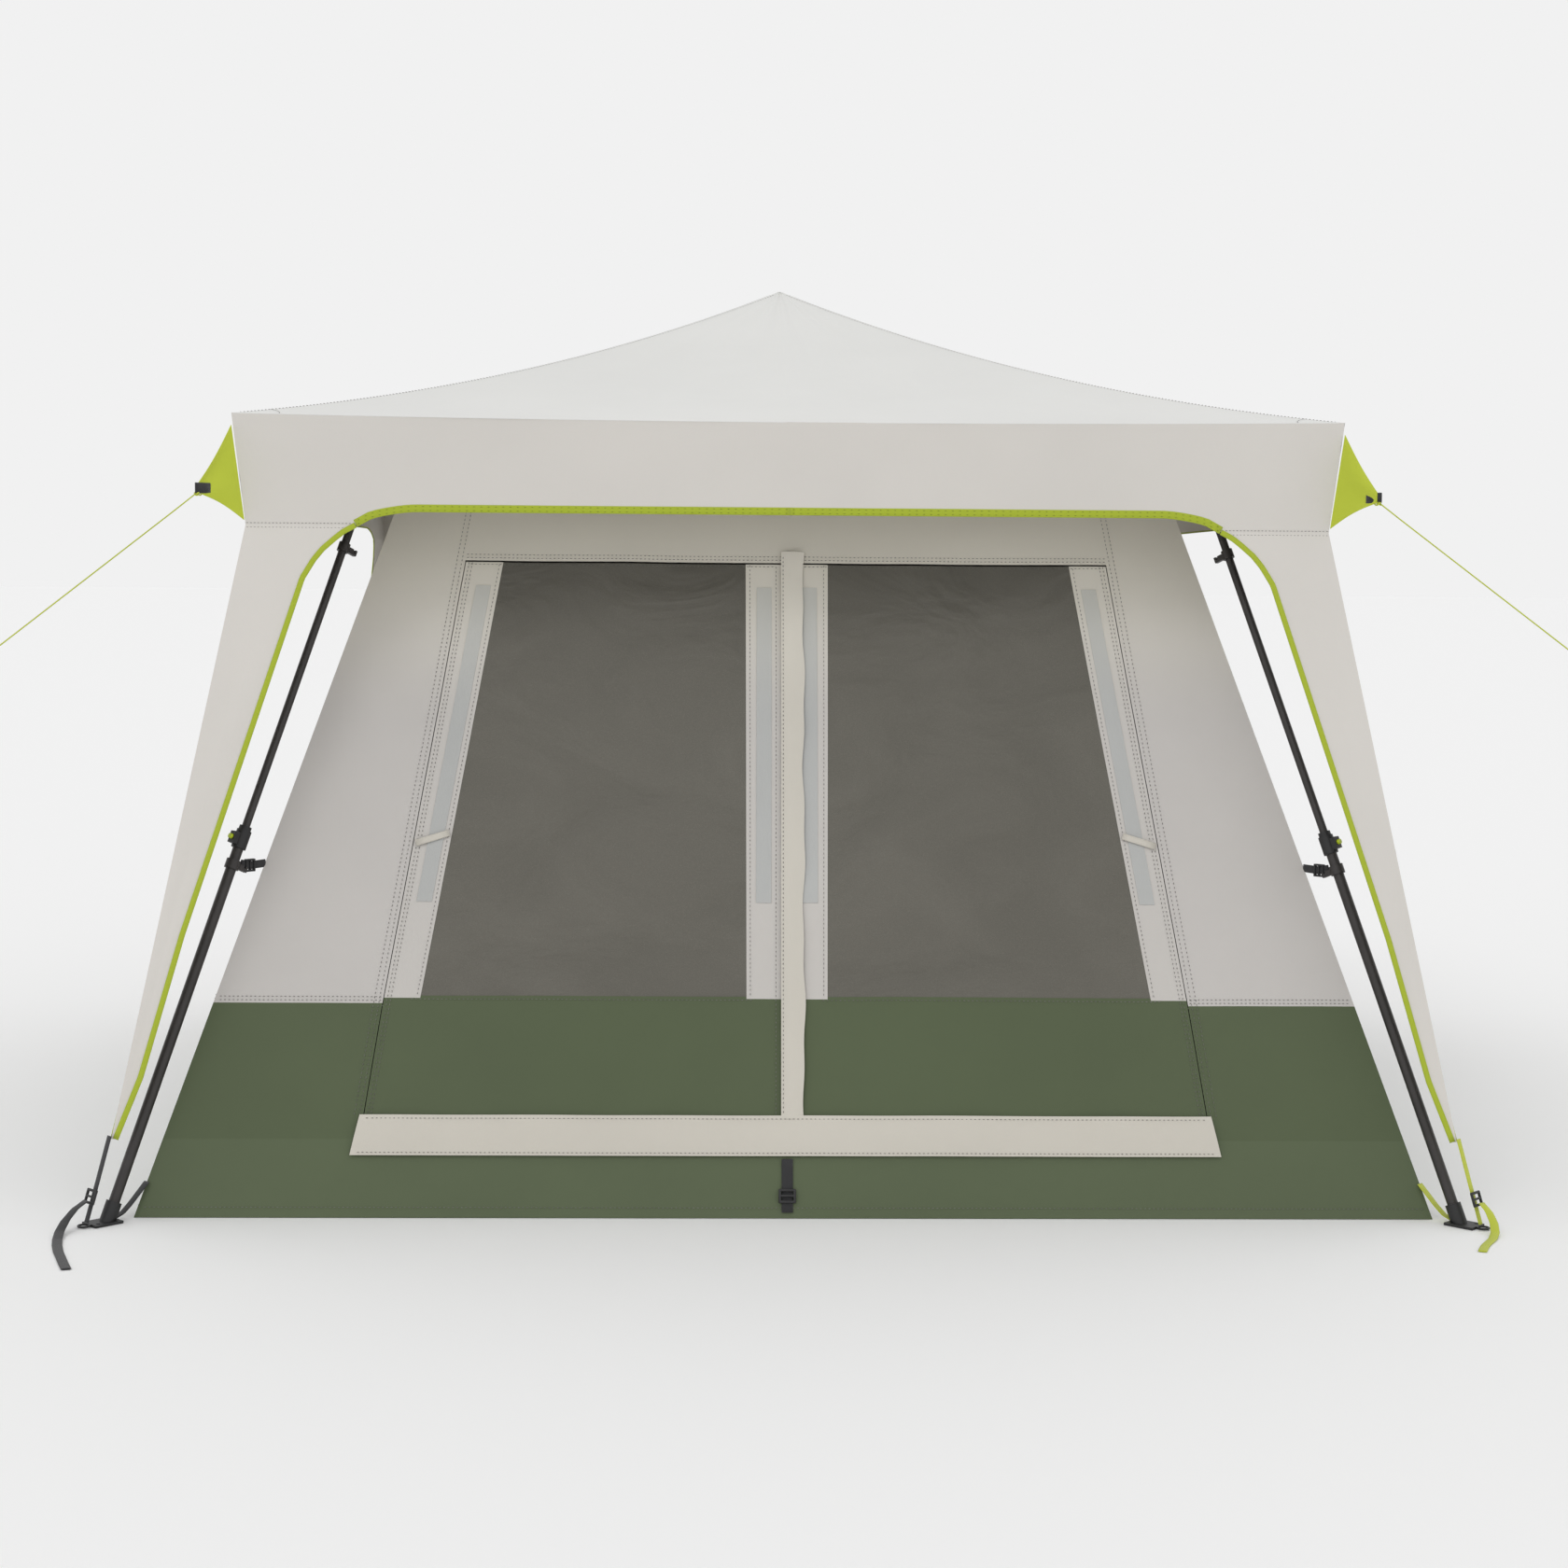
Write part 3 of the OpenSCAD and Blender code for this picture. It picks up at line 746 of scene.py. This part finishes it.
def wall_stitches(name, side, half, lines, body=None, out=0.0042):
    """Rows of stitches on a half wall; each line is [distance from the middle, height]."""
    outward = wall_out(side)
    rows = []
    for line in lines:
        points = wall_line(side, [(half * x, z) for x, z in line], out)
        rows.append((points, [outward] * len(points)))
    piece = stitch_mesh(name, rows, THREAD, **BIG_STITCH)
    on_wall(piece, side, half, body)


def gable(x):
    """Height of the wall's top edge at a distance x from its middle."""
    top = WALL_TOP + 0.008
    if x <= GABLE_HALF:
        return top
    share = (x - GABLE_HALF) / (wall_edge(GABLE_CORNER_Z) - GABLE_HALF)
    return top - share * (top - GABLE_CORNER_Z)


def middle_line(z):
    return 0.0


def threshold_end(z):
    return DOOR_HALF


def half_name(side, half):
    return f"{('front', 'right', 'rear', 'left')[side]}_{corner_of(side, half)}"


def upper_part(side, half):
    """The band from the header up to the roof."""
    outward = wall_out(side)

    def face(u, v):
        z = HEADER + (gable(wall_edge(GABLE_CORNER_Z) * u) - HEADER) * v
        x = half * wall_end(z) * u
        return wall(side, x, z, 0.002 + wall_wave(side, x, z)), outward
    return sheet_mesh(f"wall_{half_name(side, half)}_top", face, 40, 16, WALL)


def make_half_wall(side, half):
    name = half_name(side, half)
    node_name = ("wall_front", "wall_right", "wall_rear", "wall_left")[side]
    parts = [upper_part(side, half)]
    door = side == 0
    inner = seam_x if door else window_out
    parts.append(wall_sheet(f"wall_{name}_panel", side, half, SKIRT_Z, HEADER, inner, wall_end,
                            WALL, nu=26, nv=60))
    if not door:
        parts.append(wall_sheet(f"wall_{name}_middle", side, half, SKIRT_Z, HEADER, middle_line,
                                window_in, WALL, nu=8, nv=60))
        parts.append(wall_sheet(f"wall_{name}_under", side, half, SKIRT_Z, WINDOW_LOW, window_in,
                                window_out, WALL, nu=40, nv=3))
        pane = wall_sheet(f"wall_{name}_mesh", side, half, WINDOW_LOW, HEADER, window_in,
                          window_out, MESH, out=0.001, nu=36, nv=48)
        on_wall(pane, side, half, nodes=("window_mesh",))
    for part in parts:
        on_wall(part, side, half, nodes=(node_name,))

    # The skirt: beside the doors it runs from the seam outwards, and under them as a threshold.
    if door:
        step = wall_sheet(f"skirt_{name}_threshold", side, half, 0.0, THRESHOLD, middle_line,
                          threshold_end, LOW_SKIRT, nu=50, nv=8)
        side_low = wall_sheet(f"skirt_{name}_side_low", side, half, 0.0, THRESHOLD,
                              threshold_end, wall_end, LOW_SKIRT, nu=24, nv=8)
        side_top = wall_sheet(f"skirt_{name}_side", side, half, THRESHOLD, SKIRT_Z, seam_x,
                              wall_end, SKIRT, nu=24, nv=16)
        skirts = [step, side_low, side_top]
    else:
        skirts = [wall_sheet(f"skirt_{name}_cloth", side, half, 0.0, SKIRT_Z, middle_line,
                             wall_end, SKIRT, nu=70, nv=24)]
    for part in skirts:
        on_wall(part, side, half, nodes=("skirt",))

    # Seams: the skirt's top, the header and the window's hem.
    edge_in = seam_x(SKIRT_Z) if door else 0.0
    header_end = seam_x(HEADER) if door else 0.83
    lines = [[(edge_in, SKIRT_Z + dz), (wall_edge(SKIRT_Z) - 0.01, SKIRT_Z + dz)]
             for dz in (0.006, 0.014)]
    lines += [[(0.0, HEADER + dz), (header_end, HEADER + dz)] for dz in (0.006, 0.014)]
    if door:
        for dx in (0.008, 0.020):
            lines.append([(seam_x(z) + dx, z) for z in (THRESHOLD + 0.05, 0.48, 1.0, 1.62)])
    else:
        for dx in (0.010, 0.060, 0.068):
            lines.append([(window_out(z) + dx, z) for z in (WINDOW_LOW, 1.0, HEADER)])
        lines.append([(0.085, WINDOW_LOW), (0.090, HEADER)])
        lines.append([(0.085, WINDOW_LOW - 0.008), (0.87, WINDOW_LOW - 0.008)])
    wall_stitches(f"wall_{name}_stitch", side, half, lines)
    wall_stitches(f"skirt_{name}_stitch", side, half,
                  [[(0.01, HEM_Z), (wall_edge(HEM_Z) - 0.01, HEM_Z)]])


for wall_side in range(4):
    for wall_half in (-1, 1):
        make_half_wall(wall_side, wall_half)


# ---- Door leaves ----
def make_leaf(half):
    name = "left" if half < 0 else "right"
    body = "door_" + name
    gap = 0.002
    skirt_top = SKIRT_Z + 0.012
    leaf_low, leaf_top = THRESHOLD + 0.004, HEADER - 0.004

    def edge(z):
        return seam_x(z) - gap

    def inner(z):
        return 0.003
    skirt = wall_sheet(f"door_{name}_skirt", 0, half, leaf_low, skirt_top, inner, edge, SKIRT,
                       nu=50, nv=16)
    band_in = wall_sheet(f"door_{name}_inner_band", 0, half, skirt_top, leaf_top, inner,
                         window_in, BAND, nu=8, nv=60)
    band_out = wall_sheet(f"door_{name}_outer_band", 0, half, skirt_top, leaf_top, window_out,
                          edge, BAND, nu=10, nv=60)
    hem = wall_sheet(f"door_{name}_low_band", 0, half, skirt_top, WINDOW_LOW, window_in,
                     window_out, SKIRT, nu=40, nv=2)
    pane = wall_sheet(f"door_{name}_mesh_cloth", 0, half, WINDOW_LOW, leaf_top, window_in,
                      window_out, MESH, out=0.001, nu=40, nv=54)
    for part in (skirt, band_in, band_out, hem):
        on_wall(part, 0, half, body, ("door_" + name,))
    on_wall(pane, 0, half, body, (f"door_{name}_mesh",))

    # Pale strips sewn along both bands, and the tie-back loop.
    for label, middle in (("outer", lambda z: (window_out(z) + edge(z)) / 2 - 0.008),
                          ("inner", lambda z: 0.055)):
        tape = wall_sheet(f"door_{name}_{label}_strip", 0, half, 0.70, HEADER - 0.06,
                          lambda z, m=middle: m(z) - 0.018,
                          lambda z, m=middle: m(z) + 0.018, TAPE, out=0.0035, nu=4, nv=50)
        on_wall(tape, 0, half, body)
    points = wall_line(0, [(half * (edge(LOOP_Z) - 0.004), LOOP_Z - 0.012),
                           (half * (window_out(LOOP_Z) + 0.004), LOOP_Z + 0.012)], 0.006)
    loop = strip_mesh(f"door_{name}_tie_loop", points, [wall_out(0)] * len(points), 0.016, 0.003,
                      FLAP)
    on_wall(loop, 0, half, body)

    lines = [[(window_out(z) + 0.008, z) for z in (WINDOW_LOW, 1.0, leaf_top)],
             [(edge(z) - 0.008, z) for z in (leaf_low + 0.04, 0.48, 1.0, leaf_top)],
             [(edge(z) - 0.016, z) for z in (leaf_low + 0.04, 0.48, 1.0, leaf_top)],
             [(0.086, WINDOW_LOW), (0.090, leaf_top)], [(0.026, leaf_low), (0.026, leaf_top)],
             [(0.03, leaf_top - 0.006), (edge(leaf_top) - 0.01, leaf_top - 0.006)],
             [(0.08, WINDOW_LOW - 0.008), (0.88, WINDOW_LOW - 0.008)]]
    wall_stitches(f"door_{name}_stitch", 0, half, lines, body)


make_leaf(-1)
make_leaf(1)


# ---- Flaps ----
def make_flaps():
    outward = wall_out(0)
    top, low = top_of("zip_flap").z + 0.03, low_of("zip_flap").z - 0.01

    def face(u, v):
        z = low + (top - low) * v
        wavy = 0.0022 * math.sin(z * 17) + 0.0016 * math.sin(z * 41 + 1)
        x = -0.014 + (0.054 + wavy) * u
        lift = 0.010 + 0.003 * math.sin(u * math.pi) + 0.0015 * u * math.sin(z * 24)
        return wall(0, x, z, lift + wall_wave(0, 0, z)), outward
    flap = sheet_mesh("zip_flap_cloth", face, 10, 140, FLAP)
    on_wall(flap, 0, -1, "door_left", ("zip_flap",))
    points = wall_line(0, [(-0.009, low + 0.01), (-0.009, top - 0.01)], 0.0122)
    row = stitch_mesh("zip_flap_stitch", [(points, [outward] * len(points))], THREAD, **BIG_STITCH)
    on_wall(row, 0, -1, "door_left")
    for half in (-1, 1):
        name = corner_of(0, half)

        def band(u, v):
            z = FLAP_LOW + (FLAP_TOP + 0.004 - FLAP_LOW) * v
            x = half * (1.005 - 0.02 * v) * u
            lift = 0.010 + 0.002 * math.sin(v * math.pi) + 0.002 * math.sin(x * 19) * v
            return wall(0, x, z, lift + wall_wave(0, x, z)), outward
        cloth = sheet_mesh(f"bottom_flap_{name}_cloth", band, 90, 10, FLAP)
        on_wall(cloth, 0, half, nodes=("bottom_flap",))
        lines = [[(0.0, FLAP_LOW + 0.006), (0.995, FLAP_LOW + 0.006)],
                 [(0.0, FLAP_TOP - 0.004), (0.975, FLAP_TOP - 0.004)]]
        wall_stitches(f"bottom_flap_{name}_stitch", 0, half, lines, out=0.0122)


make_flaps()


# ---- Sliders, centre strap ----
def rounded_box(name, corners, material, bevel):
    """A block from its eight corners, with rounded edges."""
    faces = [(0, 1, 2, 3), (4, 5, 6, 7), (0, 1, 5, 4), (1, 2, 6, 5), (2, 3, 7, 6), (3, 0, 4, 7)]
    obj = link_mesh(name, corners, faces, material)
    mod = obj.modifiers.new("round", "BEVEL")
    mod.width, mod.segments = bevel, 3
    return obj


def wall_block(name, x0, x1, z0, z1, out0, out1, material, bevel):
    """A block on the front wall, from x0 to x1, z0 to z1 and out0 to out1."""
    corners = [wall(0, x, z, o) for o in (out0, out1)
               for x, z in ((x0, z0), (x1, z0), (x1, z1), (x0, z1))]
    return rounded_box(name, corners, material, bevel)


def make_sliders():
    places = (("centre", 0.002, 0.014, 0.228, 0.272, "slider_centre", -1, "zip_slider_centre"),
              ("right", 0.060, 0.106, 0.178, 0.190, "slider_right", 1, "zip_slider_right"),
              ("left", -0.106, -0.060, 0.178, 0.190, "slider_left", -1, "zip_slider_left"))
    for label, x0, x1, z0, z1, body, half, cad in places:
        piece = wall_block(f"zip_pull_{label}", x0, x1, z0, z1, 0.0036, 0.0072, ZIP, 0.0010)
        on_wall(piece, 0, half, body, (cad,))


make_sliders()


def make_centre_strap():
    points = wall_line(0, [(0, 0.128), (0, 0.012)], 0.005)
    strap = strip_mesh("centre_strap_webbing", points, [wall_out(0)] * len(points), 0.026, 0.002,
                       BLACK_WEB)
    on_wall(strap, 0, -1, nodes=("centre_strap",))
    bars = [(f"bar_{i}", -0.018, 0.018, z - 0.003, z + 0.003)
            for i, z in enumerate((0.035, 0.048, 0.060))]
    bars += [(f"side_{i}", x - 0.003, x + 0.003, 0.032, 0.063)
             for i, x in enumerate((-0.017, 0.017))]
    for label, *box in bars:
        bar = wall_block("centre_buckle_" + label, *box, 0.006, 0.013, PLASTIC, 0.002)
        on_wall(bar, 0, -1)


make_centre_strap()


# ---- Guy tabs and cords ----
TAB, TAB_Z = 1.354, 1.660                      # the tabs' tips


def make_tabs():
    for corner in CORNERS:
        r = radial(corner)
        across = sideways(corner)
        root_high = r * (EAVE * DIAGONAL + 0.001) + Vector((0, 0, EAVE_Z - 0.028))
        root_low = r * (WING_TOP * DIAGONAL + 0.004) + Vector((0, 0, SEAM_Z + 0.010))
        tip = r * (TAB * DIAGONAL) + Vector((0, 0, TAB_Z))

        def face(u, v):
            root = root_low.lerp(root_high, v)
            end = tip + Vector((0, 0, (v - 0.5) * 0.024))
            p = root.lerp(end, u)
            pull = math.sin(math.pi * u) * (v - 0.5)
            p += Vector((0, 0, -pull * 0.014))
            fold = 0.004 * math.sin(math.pi * u) * math.sin(2 * math.pi * v)
            return p + across * (0.001 + fold), across
        tab = sheet_mesh(f"guy_tab_{corner}_cloth", face, 20, 20, LIME, 0.002)
        on_arm(tab, corner, "guy_tabs")
        end = [tip + r * d for d in (-0.030, -0.015, 0.0, 0.010)]
        loop = strip_mesh(f"guy_tab_{corner}_webbing", end, [across] * 4, 0.024, 0.004, BLACK_WEB)
        on_arm(loop, corner)


make_tabs()


def knot(name, centre, material, size=0.0055):
    """A small overhand knot."""
    points = []
    for i in range(49):
        t = 2 * math.pi * i / 48
        turn_at = Vector((math.sin(t) + 2 * math.sin(2 * t),
                          math.cos(t) - 2 * math.cos(2 * t), -math.sin(3 * t)))
        points.append(centre + size * turn_at * 0.5)
    return tube_mesh(name, points, 0.0016, material, 8)


# The right cord's route, as in part.scad: [x and -y, height].
GUY_ROUTE = [(1.356, 1.650), (1.400, 1.607), (1.450, 1.559), (1.500, 1.511), (1.550, 1.463),
             (1.600, 1.415), (1.650, 1.367), (1.700, 1.319), (1.745, 1.276)]


def make_guy_cords():
    for corner, s in (("fl", -1), ("fr", 1)):
        points = [Vector((s * x, -x, z)) for x, z in GUY_ROUTE]
        fine = resample(points, 0.012)
        piece = tube_mesh(f"guy_cord_{corner}_line", fine, 0.0015, LIME_WEB, 10)
        near = knot(f"guy_cord_{corner}_knot", points[0] + Vector((0, 0, -0.004)), LIME_WEB)
        far = knot(f"guy_cord_{corner}_end_knot", points[-1], LIME_WEB)
        for obj in (piece, near, far):
            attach(obj, "arm_" + corner)
        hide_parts("guy_cord_" + corner)


make_guy_cords()


# ---- Foot webbing ----
def foot_web(name, corner, points, width, material, slot):
    """Webbing in the corner's own vertical plane, given as [distance from the centre, height]."""
    r = radial(corner)
    across = sideways(corner)
    line = resample([r * d + Vector((0, 0, z)) for d, z in points], 0.008)
    piece = tube_mesh(name, line, width / 2, material, 12, 0.12, across)
    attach(piece, "lower_leg_" + corner)
    return piece


# A buckle's bars: [place along, place up, width, height].
LADDER_BARS = ((0, -0.014, 0.036, 0.006), (0, 0, 0.036, 0.005), (0, 0.014, 0.036, 0.006),
               (-0.016, 0, 0.005, 0.032), (0.016, 0, 0.005, 0.032))
CLIP_BARS = ((-0.011, 0, 0.004, 0.026), (0, 0, 0.004, 0.024), (0.011, 0, 0.004, 0.026),
             (0, 0.013, 0.026, 0.004), (0, -0.013, 0.026, 0.004))


def buckle(name, corner, centre, along, up, depths, bars, bevel):
    """Flat bars in the plane of along and up, between two depths off that plane."""
    out = up.cross(along)
    for i, (a, b, w, h) in enumerate(bars):
        c = centre + along * a + up * b
        corners = [c + along * x * w / 2 + up * y * h / 2 + out * o
                   for o in depths for x, y in ((-1, -1), (1, -1), (1, 1), (-1, 1))]
        bar = rounded_box(f"{name}_{i}", corners, PLASTIC, bevel)
        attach(bar, "lower_leg_" + corner)


CLIP_Z = 0.790                                 # the legs' middle clips


def make_clip_straps():
    """The short strap and buckle that join each leg's middle clip to the wall's edge."""
    for corner in CORNERS:
        r = radial(corner)
        leg_r = (FOOT - LEG_LEAN * CLIP_Z) * DIAGONAL
        edge_r = wall_edge(CLIP_Z) * DIAGONAL
        middle = r * ((leg_r + edge_r) / 2) + Vector((0, 0, CLIP_Z - 0.006))
        line = resample([r * (leg_r - 0.022) + Vector((0, 0, CLIP_Z)), middle,
                         r * (edge_r + 0.004) + Vector((0, 0, CLIP_Z - 0.004))], 0.006)
        strap = tube_mesh(f"clip_strap_{corner}", line, 0.0095, BLACK_WEB, 12, 0.16, (0, 0, 1))
        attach(strap, "lower_leg_" + corner)
        buckle(f"clip_buckle_{corner}", corner, middle, r, Vector((0, 0, 1)), (-0.005, 0.005),
               CLIP_BARS, 0.0012)


make_clip_straps()


# The loose tails' routes, as in part.scad.
TAILS = {
    "fr": [(1.577, -1.577, 0.060), (1.589, -1.595, 0.044), (1.594, -1.619, 0.024),
           (1.589, -1.647, 0.009), (1.575, -1.677, 0.003), (1.558, -1.705, 0.002),
           (1.543, -1.731, 0.002), (1.530, -1.760, 0.002), (1.520, -1.785, 0.002)],
    "fl": [(-1.577, -1.577, 0.060), (-1.597, -1.597, 0.046), (-1.612, -1.622, 0.026),
           (-1.617, -1.655, 0.010), (-1.611, -1.700, 0.003), (-1.599, -1.750, 0.002),
           (-1.584, -1.800, 0.002), (-1.566, -1.850, 0.002), (-1.548, -1.900, 0.002),
           (-1.531, -1.945, 0.002)]}


def web_look(corner):
    """The front right foot's webbing is lime, the others' is black."""
    return (LIME_WEB, "lime_fabric") if corner == "fr" else (BLACK_WEB, "black_webbing")


def make_foot_webbing():
    ring = FOOT * DIAGONAL + 0.058
    down = Vector((0, 0, -1))
    for corner in CORNERS:
        look = web_look(corner)
        strap = foot_web(f"wing_strap_{corner}", corner,
                         [(TIP * DIAGONAL + 0.004, TIP_Z + 0.008), (ring - 0.036, 0.099),
                          (ring - 0.006, 0.010)], 0.018, *look)
        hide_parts("foot_straps")
        foot_web(f"wall_strap_{corner}", corner,
                 [(wall_edge(0.078) * DIAGONAL + 0.004, 0.078),
                  (WALL_HALF * DIAGONAL + 0.012, 0.034), (FOOT * DIAGONAL - 0.040, 0.016),
                  (FOOT * DIAGONAL - 0.020, 0.009)], 0.022, *look)
        r = radial(corner)
        buckle(f"wing_buckle_{corner}", corner, r * (ring - 0.022) + Vector((0, 0, 0.066)),
               sideways(corner), (r * 0.35 + down).normalized(), (0.001, 0.007),
               LADDER_BARS, 0.0015)
    for corner, points in TAILS.items():
        material, slot = web_look(corner)
        width = 0.020 if corner == "fr" else 0.022
        fine = resample(points, 0.010)
        tail = tube_mesh(f"strap_tail_{corner}_web", fine, width / 2, material, 12, 0.14)
        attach(tail, "lower_leg_" + corner)
        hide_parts("strap_tail_" + corner)


make_foot_webbing()


# ---- The frame's own nodes ----
def paint_frame():
    paints = (("roof_arm", POLE), ("upper_leg", POLE), ("lower_leg", POLE),
              ("lock_button", LIME_PLASTIC), ("lock_collar", PLASTIC), ("elbow", PLASTIC),
              ("foot", PLASTIC), ("hub", PLASTIC), ("peak_cap", PLASTIC))
    for name, obj in frame["nodes"].items():
        for start, material in paints:
            if name.startswith(start):
                if not obj.data.materials:
                    obj.data.materials.append(material)
                for s in obj.material_slots:
                    s.material = material


paint_frame()


# ---- Stage and light ----
FLOOR_HALF, FLOOR_Z, FLOOR_GREY = 300, -0.0005, 0.92
WORLD_STRENGTH = 0.88
# Each sun: [name, place, strength, angle in degrees].
SUNS = (("key", (-4.0, -6.5, 7.0), 0.32, 20), ("fill", (6, -5, 4), 0.08, 60))


def make_stage():
    paint, _, bsdf = new_material("floor_paint")
    bsdf.inputs["Base Color"].default_value = (FLOOR_GREY, FLOOR_GREY, FLOOR_GREY, 1)
    bsdf.inputs["Roughness"].default_value = 0.9
    corners = [(x * FLOOR_HALF, y * FLOOR_HALF, FLOOR_Z)
               for x, y in ((-1, -1), (1, -1), (1, 1), (-1, 1))]
    link_mesh("floor", corners, [(0, 1, 2, 3)], paint)
    world = bpy.data.worlds.new("studio")
    bpy.context.scene.world = world
    world.use_nodes = True
    sky = world.node_tree.nodes["Background"]
    sky.inputs["Color"].default_value = (1, 1, 1, 1)
    sky.inputs["Strength"].default_value = WORLD_STRENGTH
    for label, place, strength, angle in SUNS:
        data = bpy.data.lights.new(label, "SUN")
        data.energy, data.angle = strength, math.radians(angle)
        lamp = bpy.data.objects.new(label, data)
        bpy.context.scene.collection.objects.link(lamp)
        lamp.location = place
        lamp.rotation_euler = (-Vector(place)).to_track_quat("-Z", "Y").to_euler()
    bpy.context.scene.view_settings.view_transform = "Standard"


make_stage()
